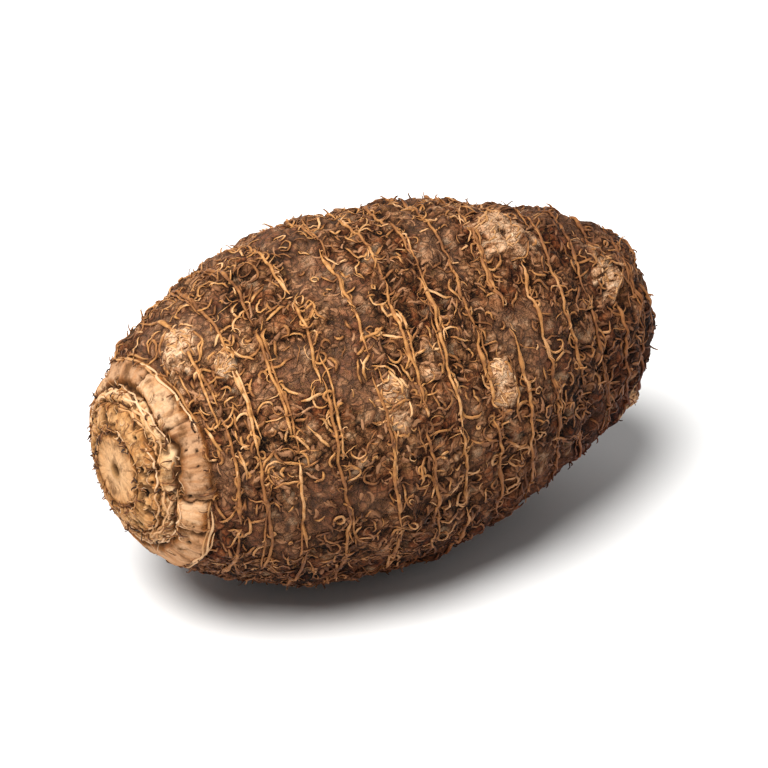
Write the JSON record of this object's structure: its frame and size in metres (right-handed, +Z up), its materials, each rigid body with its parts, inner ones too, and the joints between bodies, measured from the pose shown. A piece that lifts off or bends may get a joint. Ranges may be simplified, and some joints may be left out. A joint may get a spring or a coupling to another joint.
{
  "type": "taro root",
  "caption": "Small taro corm of the eddoe kind, whole and lying on its side, with ring scars, a trimmed stepped crown and a fibrous brown skin.",
  "frame": {"origin": "middle of the footprint, on the surface that the root lies on", "axes": "+X along the root from the trimmed crown to the blunt tip, +Z up"},
  "size_m": [0.1222, 0.071, 0.072],
  "materials": {
    "corm_skin": "matt, rough and fibrous brown skin with paler scars",
    "root_fibre": "dry tan root fibre"
  },
  "bodies": {
    "root": {"corm": "corm_skin"}
  },
  "joints": []
}
